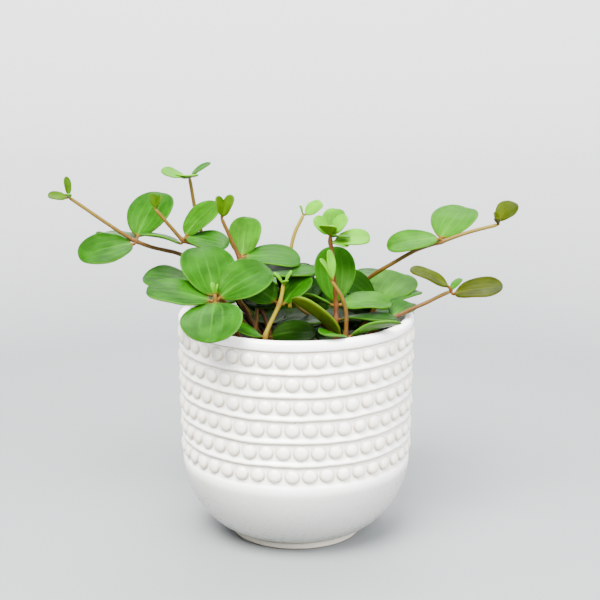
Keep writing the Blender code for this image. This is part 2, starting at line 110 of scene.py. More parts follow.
# --- small leaves that have no CAD node. Each row says: name, stem, share of the way along the stem
# above the soil, bearing, rise, roll (degrees), blade length, blade width (mm), tone.
EXTRA_LEAVES = [
    ("left_long_bud_low", "left_long", 1.0, 190, 10, -35, 8.5, 6, "tip"),
    ("left_long_bud_high", "left_long", 1.0, 120, 76, 0, 8.5, 4, "tip"),
    ("left_long_bud_mid", "left_long", 0.995, 265, 30, 0, 5, 3.5, "young"),
    ("left_long_inner", "left_long", 0.36, 166, 3, -6, 12, 14, "green"),
    ("left_mid_bud_left", "left_mid", 1.0, 165, 74, -50, 6.5, 4.6, "tip"),
    ("left_mid_bud_right", "left_mid", 1.0, 340, 66, 48, 6, 4.6, "tip"),
    ("left_back_tip_front", "left_back", 1.0, 262, 14, 0, 8, 12, "young"),
    ("left_back_tip_right", "left_back", 1.0, 24, 32, 0, 11, 6.5, "green"),
    ("left_upright_tip_left", "left_upright", 1.0, 200, 76, -58, 9.5, 6, "tip"),
    ("left_upright_tip_right", "left_upright", 1.0, 350, 64, 48, 10.5, 7.6, "tip"),
    ("front_left_bud_left", "front_left", 1.0, 160, 80, -30, 4.4, 2.6, "bud"),
    ("front_left_bud_right", "front_left", 1.0, 340, 80, 30, 4, 2.4, "bud"),
    ("front_bud_tip_left", "front_bud", 1.0, 165, 50, 0, 5.5, 3.4, "bud"),
    ("front_bud_tip_right", "front_bud", 1.0, 15, 62, 0, 6, 3.8, "young"),
    ("front_bud_tip_front", "front_bud", 0.97, 290, 35, 0, 4.5, 3.2, "bud"),
    ("back_bud_tip", "back_bud", 1.0, 8, 34, 32, 9.5, 9, "young"),
    ("back_bud_tip_small", "back_bud", 1.0, 165, 72, 0, 4, 2.6, "young"),
    ("front_arching_tip_left", "front_arching", 1.0, 184, 60, -14, 10.5, 5.4, "bud"),
    ("front_arching_tip_back", "front_arching", 1.0, 120, 76, 0, 12.5, 4.6, "bud"),
    ("front_upright_top_left", "front_upright", 1.0, 196, 50, -52, 10, 8.5, "young"),
    ("front_upright_top_right", "front_upright", 1.0, 346, 52, 44, 10.5, 9.5, "young"),
    ("front_upright_top_front", "front_upright", 0.985, 322, 6, -10, 9, 8, "fresh"),
    ("front_upright_top_mid", "front_upright", 1.0, 255, 42, 0, 8, 9, "young"),
    ("front_upright_top_low", "front_upright", 0.93, 330, -6, 6, 8, 6, "young"),
    ("right_long_bud", "right_long", 1.0, 130, 66, 0, 5, 3.4, "olive"),
    ("right_long_bud_front", "right_long", 1.0, 250, 40, 0, 5, 3.4, "olive"),
    ("right_low_bud", "right_low", 1.0, 45, 30, 0, 8, 5, "fresh"),
    ("right_inner_low", "right_inner", 0.6, 330, 12, 10, 14, 10, "green"),
    ("right_inner_behind", "right_inner", 0.95, 24, 10, 0, 22, 14, "green"),
    ("right_inner_under", "right_inner", 0.8, 348, 0, 6, 18, 12, "green"),
    ("right_inner_shaded", "right_inner", 0.55, 192, 6, -10, 20, 17, "shade"),
    ("right_inner_upright", "right_inner", 0.3, 100, 40, 0, 20, 20, "shade"),
    ("centre_leaning_left", "centre_leaning", 1.0, 200, 2, -22, 20, 18, "shade"),
    ("centre_leaning_back", "centre_leaning", 1.0, 75, 36, 0, 20, 20, "shade"),
    ("centre_leaning_low", "centre_leaning", 0.4, 165, 0, -10, 18, 18, "shade"),
    ("left_upright_low", "left_upright", 0.12, 35, 16, 10, 20, 18, "shade"),
    ("left_upright_back", "left_upright", 0.3, 110, 34, 0, 20, 20, "shade"),
    ("back_bud_left", "back_bud", 0.15, 160, 48, -10, 20, 22, "shade"),
    ("back_bud_right", "back_bud", 0.15, 25, 48, 10, 20, 22, "shade"),
    ("back_bud_front", "back_bud", 0.2, 268, -12, 0, 20, 19, "shade"),
    ("left_back_upright", "left_back", 0.1, 85, 46, 0, 22, 24, "shade"),
    ("left_back_low", "left_back", 0.25, 205, 8, -15, 22, 20, "green"),
    ("left_back_front", "left_back", 0.12, 310, 4, 10, 20, 18, "shade"),
    ("right_long_upright", "right_long", 0.05, 95, 48, 0, 22, 24, "shade"),
    ("right_long_low", "right_long", 0.16, 10, 26, 16, 20, 20, "green"),
    ("trailing_left_upright", "trailing_back_left", 0.1, 120, 40, 0, 18, 20, "shade"),
    ("trailing_left_mid", "trailing_back_left", 0.55, 60, 16, 0, 20, 18, "green"),
    ("trailing_right_upright", "trailing_back_right", 0.1, 60, 40, 0, 18, 20, "shade"),
    ("trailing_right_mid", "trailing_back_right", 0.55, 120, 14, 0, 20, 18, "green"),
    ("front_upright_low", "front_upright", 0.06, 115, 24, 0, 20, 18, "shade"),
    ("trailing_left_tip_left", "trailing_back_left", 1.0, 160, -10, -20, 10, 8, "light"),
    ("trailing_left_tip_right", "trailing_back_left", 1.0, 30, 0, 15, 9, 7, "young"),
    ("trailing_right_tip_left", "trailing_back_right", 1.0, 150, -5, -15, 9, 8, "young"),
    ("trailing_right_tip_right", "trailing_back_right", 1.0, 20, -10, 20, 10, 8, "light"),
]

# How each kind of leaf looks, from 0 to 1: yellow is for young leaves, brown for the olive tips,
# and dark is painted shade for leaves low in the pot, in the shadow of the foliage; on the ripe
# tone it darkens the leaf's own colour.
TONES = {
    "green": {"yellow": 0.0, "brown": 0.0, "dark": 0.0},
    "fresh": {"yellow": 0.15, "brown": 0.0, "dark": 0.0},
    "light": {"yellow": 0.5, "brown": 0.0, "dark": 0.0},
    "young": {"yellow": 0.85, "brown": 0.0, "dark": 0.0},
    "bud": {"yellow": 1.0, "brown": 0.15, "dark": 0.0},
    "olive": {"yellow": 0.25, "brown": 0.9, "dark": 0.0},
    "ripe": {"yellow": 0.3, "brown": 0.95, "dark": 0.15},
    "tip": {"yellow": 0.7, "brown": 0.7, "dark": 0.0},
    "deep": {"yellow": 0.0, "brown": 0.0, "dark": 0.5},
    "shade": {"yellow": 0.0, "brown": 0.0, "dark": 0.8},
}
# the deep and shade tones are painted shade, for leaves that lie in the shadow low in the plant
CAD_TONES = {
    "leaf_left_back_a": "light",
    "leaf_left_upright_a": "fresh",
    "leaf_left_mid_b": "fresh",
    "leaf_front_arching_a": "tip",
    "leaf_front_bud_a": "deep",
    "leaf_front_bud_c": "shade",
    "leaf_centre_low_a": "deep",
    "leaf_right_inner_a": "fresh",
    "leaf_right_inner_b": "deep",
    "leaf_front_upright_c": "fresh",
    "leaf_front_upright_e": "deep",
    "leaf_front_upright_b": "shade",
    "leaf_front_upright_f": "light",
    "leaf_front_upright_g": "young",
    "leaf_right_long_a": "fresh",
    "leaf_right_long_b": "fresh",
    "leaf_right_long_c": "olive",
    "leaf_right_low_a": "olive",
    "leaf_right_low_b": "ripe",
}
# How red each stem is, from olive tan (0) to brownish red (1).
STEM_REDNESS = {
    "left_long": 0.55,
    "left_mid": 0.7,
    "left_back": 0.6,
    "left_upright": 1.0,
    "front_left": 0.8,
    "centre_low": 0.5,
    "front_bud": 0.02,
    "centre_leaning": 0.35,
    "back_bud": 0.05,
    "front_arching": 0.6,
    "front_upright": 1.0,
    "right_long": 0.3,
    "right_low": 0.8,
    "right_inner": 0.6,
    "trailing_back_left": 0.5,
    "trailing_back_right": 0.4,
}


# --- meshes ---------------------------------------------------------------------------------------


def add_mesh(name, points, faces, mat, attributes=None):
    """A smooth-shaded object, with one number per point for each attribute."""
    mesh = bpy.data.meshes.new(name)
    mesh.from_pydata([tuple(p) for p in points], [], faces)
    for key, values in (attributes or {}).items():
        layer = mesh.attributes.new(key, "FLOAT", "POINT")
        layer.data.foreach_set("value", np.asarray(values, np.float32))
    mesh.materials.append(mat)
    mesh.shade_smooth()
    made = bpy.data.objects.new(name, mesh)
    bpy.context.scene.collection.objects.link(made)
    return made


def tidy_mesh(obj, weld=0.0):
    """Welds points closer than weld, and turns all faces outwards."""
    bm = bmesh.new()
    bm.from_mesh(obj.data)
    if weld:
        bmesh.ops.remove_doubles(bm, verts=bm.verts, dist=weld)
    bmesh.ops.recalc_face_normals(bm, faces=bm.faces)
    bm.to_mesh(obj.data)
    bm.free()


def loft_faces(rings, count):
    """Faces between `rings` circles of `count` points each, with one face to close each end."""
    faces = []
    for r in range(rings - 1):
        for k in range(count):
            a, b = r * count + k, r * count + (k + 1) % count
            faces.append((a, b, b + count, a + count))
    faces.append(tuple(range(count - 1, -1, -1)))
    faces.append(tuple(range((rings - 1) * count, rings * count)))
    return faces


def smoothstep(low, high, value):
    t = min(max((value - low) / (high - low), 0.0), 1.0)
    return t * t * (3 - 2 * t)


# --- materials ------------------------------------------------------------------------------------


class Nodes:
    """A short way to write a node tree."""

    def __init__(self, name):
        self.material = bpy.data.materials.new(name)
        self.material.use_nodes = True
        self.tree = self.material.node_tree
        self.shader = self.tree.nodes["Principled BSDF"]

    def add(self, kind, **settings):
        node = self.tree.nodes.new(kind)
        for key, value in settings.items():
            setattr(node, key, value)
        return node

    def link(self, source, target):
        self.tree.links.new(source, target)

    def put(self, socket, value):
        if isinstance(value, bpy.types.NodeSocket):
            self.link(value, socket)
        elif hasattr(value, "__len__") and len(value) == 3 and socket.type == "RGBA":
            socket.default_value = (*value, 1.0)
        else:
            socket.default_value = value

    def attribute(self, name):
        return self.add("ShaderNodeAttribute", attribute_name=name).outputs["Fac"]

    def position(self):
        return self.add("ShaderNodeTexCoord").outputs["Object"]

    def maths(self, operation, a, b=0.0):
        node = self.add("ShaderNodeMath", operation=operation)
        self.put(node.inputs[0], a)
        self.put(node.inputs[1], b)
        return node.outputs[0]

    def mix(self, share, a, b):
        node = self.add("ShaderNodeMix", data_type="RGBA")
        self.put(node.inputs["Factor"], share)
        self.put(node.inputs[6], a)
        self.put(node.inputs[7], b)
        return node.outputs[2]

    def channel(self, colour):
        """One channel of a random colour, as a number."""
        node = self.add("ShaderNodeSeparateColor")
        self.link(colour, node.inputs[0])
        return node.outputs[0]

    def ramp(self, value, stops):
        node = self.add("ShaderNodeValToRGB")
        for _ in stops[2:]:
            node.color_ramp.elements.new(0.5)
        for element, (place, colour) in zip(node.color_ramp.elements, stops):
            element.position = place
            grey = isinstance(colour, (int, float))
            element.color = (colour, colour, colour, 1.0) if grey else (*colour, 1.0)
        self.put(node.inputs["Fac"], value)
        return node.outputs["Color"]

    def noise(self, scale, detail=2.0, rough=0.5, vector=None):
        node = self.add("ShaderNodeTexNoise")
        self.link(vector or self.position(), node.inputs["Vector"])
        node.inputs["Scale"].default_value = scale
        node.inputs["Detail"].default_value = detail
        node.inputs["Roughness"].default_value = rough
        return node.outputs["Fac"]

    def spots(self, scale):
        node = self.add("ShaderNodeTexVoronoi")
        self.link(self.position(), node.inputs["Vector"])
        node.inputs["Scale"].default_value = scale
        return node

    def bump(self, height, strength, distance, normal=None):
        node = self.add("ShaderNodeBump")
        node.inputs["Strength"].default_value = strength
        node.inputs["Distance"].default_value = distance
        self.link(height, node.inputs["Height"])
        if normal is not None:
            self.link(normal, node.inputs["Normal"])
        return node.outputs["Normal"]

    def set(self, **values):
        for key, value in values.items():
            self.put(self.shader.inputs[key.replace("_", " ")], value)
        return self.material


def leaf_material(tone):
    """Waxy, fleshy leaf skin. The attributes say where on the leaf a point is: across from -1 to 1,
    along from 0 at the blade's base to 1 at its tip (below 0 on the stalk), top 1 on the upper face
    and 0 below."""
    n = Nodes(f"leaf skin {tone}")
    yellow, brown, dark = (TONES[tone][key] for key in ("yellow", "brown", "dark"))
    across = n.attribute("across")
    along = n.attribute("along")
    top = n.attribute("top")
    random_tint = n.attribute("tint")

    def tinted(green, young, olive):
        mixed = [g * (1 - yellow) + y * yellow for g, y in zip(green, young)]
        # the dark share scales every colour down: painted shade on the deep and shade tones
        return tuple((m * (1 - brown) + o * brown) * (1 - dark) for m, o in zip(mixed, olive))

    deep = tinted((0.0036, 0.026, 0.0005), (0.030, 0.135, 0.0006), (0.010, 0.012, 0.0004))
    bright = tinted((0.0092, 0.060, 0.0013), (0.066, 0.255, 0.0006), (0.023, 0.025, 0.0006))
    under = tinted((0.024, 0.070, 0.005), (0.062, 0.160, 0.003), (0.034, 0.032, 0.002))
    vein = tinted((0.030, 0.125, 0.006), (0.095, 0.300, 0.003), (0.050, 0.050, 0.002))
    rim = tinted((0.048, 0.140, 0.010), (0.100, 0.280, 0.005), (0.050, 0.038, 0.003))

    # large soft patches, darker and lighter
    patch = n.ramp(n.noise(95.0, 3.0), [(0.38, 0.0), (0.64, 1.0)])
    body = n.mix(patch, deep, bright)
    body = n.mix(n.maths("MULTIPLY", random_tint, 0.5), body, bright)

    # five veins fan out of the base and run in arcs to the tip; the middle one is the strongest
    wobble = n.maths("MULTIPLY", n.maths("SUBTRACT", n.noise(300.0, 1.0), 0.5), 0.07)
    side = n.maths("ABSOLUTE", n.maths("ADD", across, wobble))
    fan = n.ramp(
        side,
        [
            (0.0, 1.0), (0.05, 0.0), (0.31, 0.0), (0.36, 0.7),
            (0.41, 0.0), (0.64, 0.0), (0.69, 0.4), (0.74, 0.0),
        ],
    )
    fade = n.ramp(along, [(0.0, 1.0), (0.55, 0.6), (0.92, 0.0)])
    veins = n.maths("MULTIPLY", fan, fade)
    glow = n.ramp(side, [(0.0, 1.0), (0.3, 0.0)])
    near_base = n.ramp(along, [(0.0, 1.0), (0.42, 0.0)])
    body = n.mix(n.maths("MULTIPLY", n.maths("MULTIPLY", glow, near_base), 0.75), body, vein)
    body = n.mix(n.maths("MULTIPLY", veins, 0.6), body, vein)
    edge = n.ramp(n.maths("ABSOLUTE", across), [(0.95, 0.0), (0.99, 1.0)])
    body = n.mix(n.maths("MULTIPLY", edge, 0.6), body, rim)
    below = n.mix(n.maths("MULTIPLY", veins, 0.5), under, vein)
    skin = n.mix(top, below, body)
    stalk = n.ramp(along, [(0.0, 0.0), (0.06, 1.0)])
    stalk_colour = tinted((0.078, 0.040, 0.008), (0.095, 0.085, 0.006), (0.070, 0.024, 0.004))
    skin = n.mix(stalk, stalk_colour, skin)

    # sunken veins, fine cells that break up the shine, and shallow dents
    grooves = n.bump(veins, -0.30, 0.35 * MM)
    cells = n.spots(2600.0)
    grain = n.bump(cells.outputs["Distance"], 0.10, 0.12 * MM, grooves)
    dents = n.bump(n.noise(420.0, 2.0), 0.20, 0.6 * MM, grain)
    rough = n.ramp(n.noise(240.0, 2.0), [(0.3, 0.30), (0.7, 0.42)])
    return n.set(
        Base_Color=skin,
        Roughness=rough,
        Normal=dents,
        Subsurface_Weight=0.15,
        Subsurface_Radius=(0.5, 1.0, 0.15),
        Subsurface_Scale=1.0 * MM,
        Specular_IOR_Level=0.05,
        Specular_Tint=(0.6, 1.0, 0.25, 1.0),
    )


def stem_material(name, redness):
    n = Nodes(f"stem skin {name}")
    along = n.attribute("along")
    node = n.attribute("node")
    streak_place = n.add("ShaderNodeMapping")
    n.link(n.position(), streak_place.inputs["Vector"])
    streak_place.inputs["Scale"].default_value = (1.0, 1.0, 0.25)
    streaks = n.noise(900.0, 3.0, 0.6, streak_place.outputs["Vector"])
    blotches = n.noise(160.0, 2.0)
    olive = (0.080, 0.048, 0.006)
    red = (0.052, 0.0125, 0.0025)
    base = tuple(o * (1 - redness) + r * redness for o, r in zip(olive, red))
    dark = tuple(0.55 * c for c in base)
    fresh = (0.180, 0.150, 0.009)
    fresh_low = max(0.0, 0.75 - 3 * redness)
    fresh_high = max(fresh_low, 0.5 - 0.35 * redness)
    skin = n.mix(n.ramp(blotches, [(0.35, 0.0), (0.7, 1.0 - 0.6 * redness)]), base, olive)
    skin = n.mix(n.ramp(streaks, [(0.42, 0.45), (0.62, 0.0)]), skin, dark)
    skin = n.mix(n.ramp(along, [(0.7, fresh_low), (1.0, fresh_high)]), skin, fresh)
    skin = n.mix(n.maths("MULTIPLY", node, 0.6), skin, (0.080, 0.026, 0.006))
    bumps = n.bump(streaks, 0.35, 0.25 * MM)
    return n.set(
        Base_Color=skin,
        Roughness=0.45,
        Normal=bumps,
        Specular_IOR_Level=0.12,
        Subsurface_Weight=0.1,
        Subsurface_Scale=0.8 * MM,
        Subsurface_Radius=(1.0, 0.5, 0.2),
    )


def glaze_material():
    """Cream glaze: bright on ridges, creamier on the beads with painted shade on their lower side,
    and warm brown where it pools beside them and in the grooves, which is also painted shade. The
    bowl is greyer, painted shade that is darkest low on the bowl, and the bottom edge of the foot
    is left bare."""
    n = Nodes("cream glaze")
    pool = n.attribute("pool")
    bead = n.attribute("bead")
    bowl = n.attribute("bowl")
    bare = n.attribute("bare")
    cloud = n.noise(45.0, 3.0, 0.55)
    mottle = n.noise(420.0, 4.0, 0.6)
    body = n.mix(n.ramp(cloud, [(0.35, 0.0), (0.7, 1.0)]), (0.90, 0.90, 0.88), (0.86, 0.86, 0.82))
    body = n.mix(n.ramp(mottle, [(0.45, 0.0), (0.75, 0.5)]), body, (0.90, 0.90, 0.885))
    # painted shade: the bowl, which faces down, is painted greyer and darkest low down
    body = n.mix(bowl, body, (0.31, 0.322, 0.296))
    # bead glaze: creamier on the beads, with painted shade on their lower side
    body = n.mix(n.maths("MULTIPLY", bead, 0.85), body, (0.50, 0.455, 0.34))
    # pooled glaze: warm brown beside the beads, in the grooves and under the ridges, which is also
    # painted shade
    body = n.mix(n.maths("MULTIPLY", pool, 0.9), body, (0.28, 0.20, 0.08))
    specks = n.spots(170.0)
    seen = n.maths("LESS_THAN", specks.outputs["Distance"], 0.07)
    chosen = n.maths("GREATER_THAN", n.channel(specks.outputs["Color"]), 0.93)
    speck = n.maths("MULTIPLY", n.maths("MULTIPLY", seen, chosen), 0.7)
    body = n.mix(speck, body, (0.16, 0.12, 0.09))
    body = n.mix(bare, body, n.mix(n.noise(900.0, 3.0), (0.56, 0.49, 0.38), (0.72, 0.64, 0.52)))
    ripple = n.bump(cloud, 0.25, 1.2 * MM)
    pits = n.bump(mottle, 0.12, 0.25 * MM, ripple)
    rough = n.mix(bare, n.ramp(mottle, [(0.3, 0.24), (0.7, 0.36)]), (0.8, 0.8, 0.8))
    return n.set(
        Base_Color=body,
        Roughness=rough,
        Normal=pits,
        Subsurface_Weight=0.06,
        Subsurface_Radius=(1.0, 0.9, 0.7),
        Subsurface_Scale=1.0 * MM,
        Coat_Weight=0.22,
        Coat_Roughness=0.14,
    )


def soil_material():
    n = Nodes("potting soil")
    coarse = n.noise(350.0, 5.0, 0.7)
    fine = n.spots(900.0)
    body = n.ramp(
        coarse,
        [(0.3, (0.005, 0.003, 0.002)), (0.55, (0.016, 0.010, 0.006)), (0.8, (0.045, 0.028, 0.016))],
    )
    body = n.mix(n.attribute("bark"), body, (0.070, 0.035, 0.015))
    lumps = n.bump(coarse, 0.9, 1.5 * MM)
    grains = n.bump(fine.outputs["Distance"], 0.6, 0.6 * MM, lumps)
    return n.set(Base_Color=body, Roughness=0.93, Normal=grains)


def perlite_material():
    n = Nodes("perlite")
    body = n.ramp(n.noise(1500.0, 3.0), [(0.3, (0.42, 0.40, 0.36)), (0.7, (0.62, 0.60, 0.56))])
    grain = n.bump(n.noise(2500.0, 3.0), 0.6, 0.3 * MM)
    return n.set(Base_Color=body, Roughness=0.9, Normal=grain)


def plastic_material():
    n = Nodes("black plastic")
    dust = n.noise(220.0, 4.0, 0.65)
    body = n.ramp(dust, [(0.45, (0.008, 0.008, 0.009)), (0.75, (0.028, 0.025, 0.021))])
    rough = n.ramp(dust, [(0.4, 0.42), (0.7, 0.7)])
    grain = n.bump(n.noise(1400.0, 2.0), 0.15, 0.15 * MM)
    return n.set(Base_Color=body, Roughness=rough, Normal=grain)


# --- measuring the CAD nodes ----------------------------------------------------------------------


def node_points(name):
    """A CAD node's corner points, each once."""
    mesh = NODES[name].data
    co = np.array([v.co for v in mesh.vertices])
    return np.unique(np.round(co, 7), axis=0)


class LeafPlace:
    """Where a CAD leaf lies: its stalk's end, its directions, whole length and blade width."""

    def __init__(self, name):
        points = node_points(name)
        # only the points round the stalk lie this close together
        near = np.linalg.norm(points[:, None] - points[None], axis=2) < 2.2 * STALK_RADIUS
        crowded = points[near.sum(1) >= 6]
        tip = points[np.argmax(np.linalg.norm(points - crowded.mean(0), axis=1))]
        order = np.argsort(-np.linalg.norm(crowded - tip, axis=1))
        self.start = crowded[order[:STALK_SIDES]].mean(0)
        self.total = float(np.linalg.norm(tip - self.start))
        self.along = (tip - self.start) / self.total
        x = (points - self.start) @ self.along
        middle = points[np.abs(x - BLADE_MIDDLE * self.total) < 0.1 * MM]
        spread = np.linalg.norm(middle[:, None] - middle[None], axis=2)
        a, b = np.unravel_index(np.argmax(spread), spread.shape)
        self.width = float(spread[a, b])
        left = (middle[a] - middle[b]) / self.width
        rise = middle.mean(0) - self.start
        rise -= self.along * (rise @ self.along) + left * (rise @ left)
        self.up = rise / np.linalg.norm(rise)
        self.left = np.cross(self.up, self.along)


class StemPlace:
    """A CAD stem's centreline from the root up, with its radius at each ring."""

    def __init__(self, name):
        points = node_points(name)
        left = set(range(len(points)))
        centres, radii = [], []
        while left:
            group = [left.pop()]
            for k in group:
                near = [m for m in left if np.linalg.norm(points[m] - points[k]) < RING_GAP]
                left.difference_update(near)
                group.extend(near)
            ring = points[group]
            centres.append(ring.mean(0))
            radii.append(float(np.linalg.norm(ring - ring.mean(0), axis=1).mean()))
        centres = np.array(centres)
        order = [int(np.argmin(centres[:, 2]))]
        rest = set(range(len(centres))) - set(order)
        while rest:
            here = centres[order[-1]]
            order.append(min(rest, key=lambda m: np.linalg.norm(centres[m] - here)))
            rest.remove(order[-1])
        self.centres = centres[order]
        self.radii = np.array(radii)[order]
        steps = np.linalg.norm(np.diff(self.centres, axis=0), axis=1)
        self.distance = np.concatenate([[0], np.cumsum(steps)])
        self.length = float(self.distance[-1])
        self.fine_line = self.fine(LINE_STEP)[0]

    def fine(self, spacing):
        """The centreline as a smooth curve, its points about spacing apart: points, radii and
        distances from the root."""
        c = self.centres
        ends = np.vstack([2 * c[0] - c[1], c, 2 * c[-1] - c[-2]])
        line, radii, distance = [c[0]], [self.radii[0]], [0.0]
        for k in range(1, len(c)):
            p0, p1, p2, p3 = ends[k - 1 : k + 3]
            steps = max(2, round(np.linalg.norm(p2 - p1) / spacing))
            for step in range(1, steps + 1):
                t = step / steps
                line.append(
                    0.5 * (2 * p1 + (p2 - p0) * t + (2 * p0 - 5 * p1 + 4 * p2 - p3) * t**2
                           + (3 * p1 - p0 - 3 * p2 + p3) * t**3)
                )
                radii.append(self.radii[k - 1] * (1 - t) + self.radii[k] * t)
                before, after = self.distance[k - 1], self.distance[k]
                distance.append(before + t * (after - before))
        return np.array(line), np.array(radii), np.array(distance)

    def at(self, place, above):
        """Centre, direction and radius at a share of the length above height `above`."""
        line, radii, distance = self.fine(LINE_STEP)
        first = int(np.argmax(line[:, 2] > above))
        wanted = distance[first] + place * (self.length - distance[first])
        k = int(np.argmin(np.abs(distance - wanted)))
        ahead, behind = line[min(k + 1, len(line) - 1)], line[max(k - 1, 0)]
        direction = (ahead - behind) / np.linalg.norm(ahead - behind)
        return line[k], direction, float(radii[k])


# --- plant ----------------------------------------------------------------------------------------

STEM_NAMES = sorted(name[5:] for name in NODES if name.startswith("stem_"))
LEAF_NAMES = sorted(name for name in NODES if name.startswith("leaf_"))
STEMS = {name: StemPlace(f"stem_{name}") for name in STEM_NAMES}
SOIL_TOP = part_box("potting_soil")[1].z

# Points across a blade, from its right edge to its left: closer together at the rim and beside the
# midrib.
ACROSS = [1.0, 0.985, 0.94, 0.86, 0.76, 0.66, 0.56, 0.45, 0.36, 0.27, 0.18, 0.10, 0.04, 0.0]
ACROSS = [-a for a in ACROSS] + ACROSS[-2::-1]
VEINS_ACROSS = (0.36, 0.69)
BLADE_STEPS = 24
STALK_BENDS = (0.1, 0.55, 0.85)  # shares of the way from a stem's middle to its surface


def rim_profile(distance, half):
    """Half thickness of a blade with a round rim at this distance in from its edge."""
    if distance >= half:
        return half
    return half * math.sqrt(max(0.0, 1 - (1 - distance / half) ** 2))


def leaf_mesh(name, start, along, left, up, total, width, origin, tone, seed):
    """A stalk and a fleshy blade in one closed skin. origin is the middle of its stem."""
    rng = random.Random(seed)
    start, along, left, up, origin = (Vector(v) for v in (start, along, left, up, origin))
    stalk = BARE_STALK * STALK * total
    blade = total - stalk
    widest = (BLADE_MIDDLE * total - stalk) / blade
    small = min(1.0, total / FULL_GROWN)
    radius = STALK_RADIUS * (0.55 + 0.45 * small)
    half = BLADE_HALF_THICKNESS * (0.5 + 0.5 * small) * rng.uniform(0.95, 1.1)
    taper = rng.uniform(1.6, 1.9)
    cup = rng.uniform(0.07, 0.13)
    droop = rng.uniform(-0.01, 0.03)
    wave = rng.uniform(0.15, 0.45) * MM * small
    phase = rng.uniform(0, 2 * math.pi)
    waves = rng.choice((2, 3))
    notch = rng.uniform(0.0, 0.35)
    drift = Vector((rng.uniform(-9, 9), rng.uniform(-9, 9), rng.uniform(-9, 9)))

    stations = [0.5 * stalk]
    for k in range(BLADE_STEPS):
        share = 0.5 * (1 - math.cos(math.pi * k / BLADE_STEPS))
        stations.append(stalk + share * blade)
    points, data = [], {"across": [], "along": [], "top": [], "tint": []}
    tint = rng.random()

    def middle_height(x):
        share = x / total
        return CAMBER * total * 4 * share * (1 - share) - droop * total * share**3

    def add(point, across, share, top):
        points.append(point)
        data["across"].append(across)
        data["along"].append(share)
        data["top"].append(top)
        data["tint"].append(tint)

    def ring(x):
        share = (x - stalk) / blade
        inside = min(max(share, 0.0), 1.0)
        if inside < widest:
            reach = (1 - (1 - inside / widest) ** taper) ** (1 / taper)
        else:
            reach = (1 - ((inside - widest) / (1 - widest)) ** OUTLINE_POWER) ** (1 / OUTLINE_POWER)
        pointed = 1 - 0.16 * notch * smoothstep(0.7, 1.0, share)
        out = max(0.5 * width * reach * pointed, radius)
        blend = smoothstep(-0.02, 0.10, share)
        end = smoothstep(0.93, 1.0, share)
        thick = half * (1 - 0.65 * end)
        lift = middle_height(x)

        def height(a, side):
            y = a * out
            round_part = radius * math.sqrt(max(0.0, 1 - a * a))
            flat_part = rim_profile((1 - abs(a)) * out, thick)
            z = side * ((1 - blend) * round_part + blend * flat_part)
            open_blade = smoothstep(0.0, 0.3, share) * (1 - smoothstep(0.82, 1.0, share))
            rib = math.exp(-((y / MIDRIB_WIDTH) ** 2))
            rib += 0.5 * sum(
                math.exp(-(((abs(a) - v) * out / VEIN_WIDTH) ** 2)) for v in VEINS_ACROSS
            )
            z -= VEIN_DEPTH * small * rib * open_blade * (1.0 if side > 0 else 1.25)
            z += cup * out * a * a * blend
            turn = phase + (1 if a > 0 else -1) * 1.3 + waves * math.pi * share
            z += wave * a * a * blend * math.sin(turn)
            buckle = Vector((x, y, 0)) * BUCKLE_SCALE + drift
            return z + BUCKLE_HEIGHT * small * blend * noise.noise(buckle) + lift

        centre = start + x * along
        for a in ACROSS:
            add(centre + a * out * left + height(a, 1) * up, a, share, 1.0)
        for a in ACROSS[-2:0:-1]:
            add(centre + a * out * left + height(a, -1) * up, a, share, 0.0)

    # the stalk leaves the middle of its stem and bends into line with the blade
    count = 2 * len(ACROSS) - 2
    bend = start - origin
    for place in STALK_BENDS:
        middle = origin + bend * place + along * (0.12 * stalk * place * place)
        heading = (bend.normalized() * (1 - place) + along * place).normalized()
        sideways = (left - heading * left.dot(heading)).normalized()
        outwards = heading.cross(sideways)
        fat = radius * (1.35 - 0.35 * place)
        for a in ACROSS:
            add(middle + fat * (a * sideways + math.sqrt(1 - a * a) * outwards), a, -1.0, 1.0)
        for a in ACROSS[-2:0:-1]:
            add(middle + fat * (a * sideways - math.sqrt(1 - a * a) * outwards), a, -1.0, 0.0)
    for x in stations:
        ring(x)
    faces = loft_faces(len(STALK_BENDS) + len(stations), count)
    made = add_mesh(name, points, faces, LEAF_MATERIALS[tone], data)
    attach(made, "root")
    return made


def nearest_on_stem(point):
    """The middle of the nearest stem beside a stalk's end."""
    best = None
    for stem in STEMS.values():
        line = stem.fine_line
        distance = np.linalg.norm(line - point, axis=1)
        k = int(np.argmin(distance))
        if best is None or distance[k] < best[0]:
            best = (distance[k], line[k])
    return best[1]


def build_cad_leaves():
    for seed, name in enumerate(LEAF_NAMES):
        place = LeafPlace(name)
        tone = CAD_TONES.get(name, "green")
        made = leaf_mesh(
            name.replace("leaf_", "fleshy_leaf_", 1), place.start, place.along, place.left,
            place.up, place.total, place.width, nearest_on_stem(place.start), tone, 100 + seed,
        )
        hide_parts(name)


def leaf_axes(bearing, rise, roll):
    """Unit vectors along a leaf, to its left and out of its upper face. Angles are in degrees."""
    bearing, rise, roll = (math.radians(v) for v in (bearing, rise, roll))
    flat = math.cos(rise)
    along = Vector((math.cos(bearing) * flat, math.sin(bearing) * flat, math.sin(rise)))
    left = Vector((-math.sin(bearing), math.cos(bearing), 0))
    up = along.cross(left)
    turned = left * math.cos(roll) + up * math.sin(roll)
    return along, turned, up * math.cos(roll) - left * math.sin(roll)


def build_extra_leaves():
    for seed, row in enumerate(EXTRA_LEAVES):
        name, stem, share, bearing, rise, roll, length, width, tone = row
        centre, direction, radius = STEMS[stem].at(share, SOIL_TOP)
        centre, direction = Vector(centre), Vector(direction)
        along, left, up = leaf_axes(bearing, rise, roll)
        outwards = along - direction * along.dot(direction)
        outwards = outwards.normalized() if outwards.length > 0.05 else left
        start = centre + outwards * radius * 0.9
        total = length * MM / (1 - STALK)
        leaf_mesh(
            f"small_leaf_{name}", start, along, left, up,
            total, width * MM, centre, tone, 500 + seed,
        )


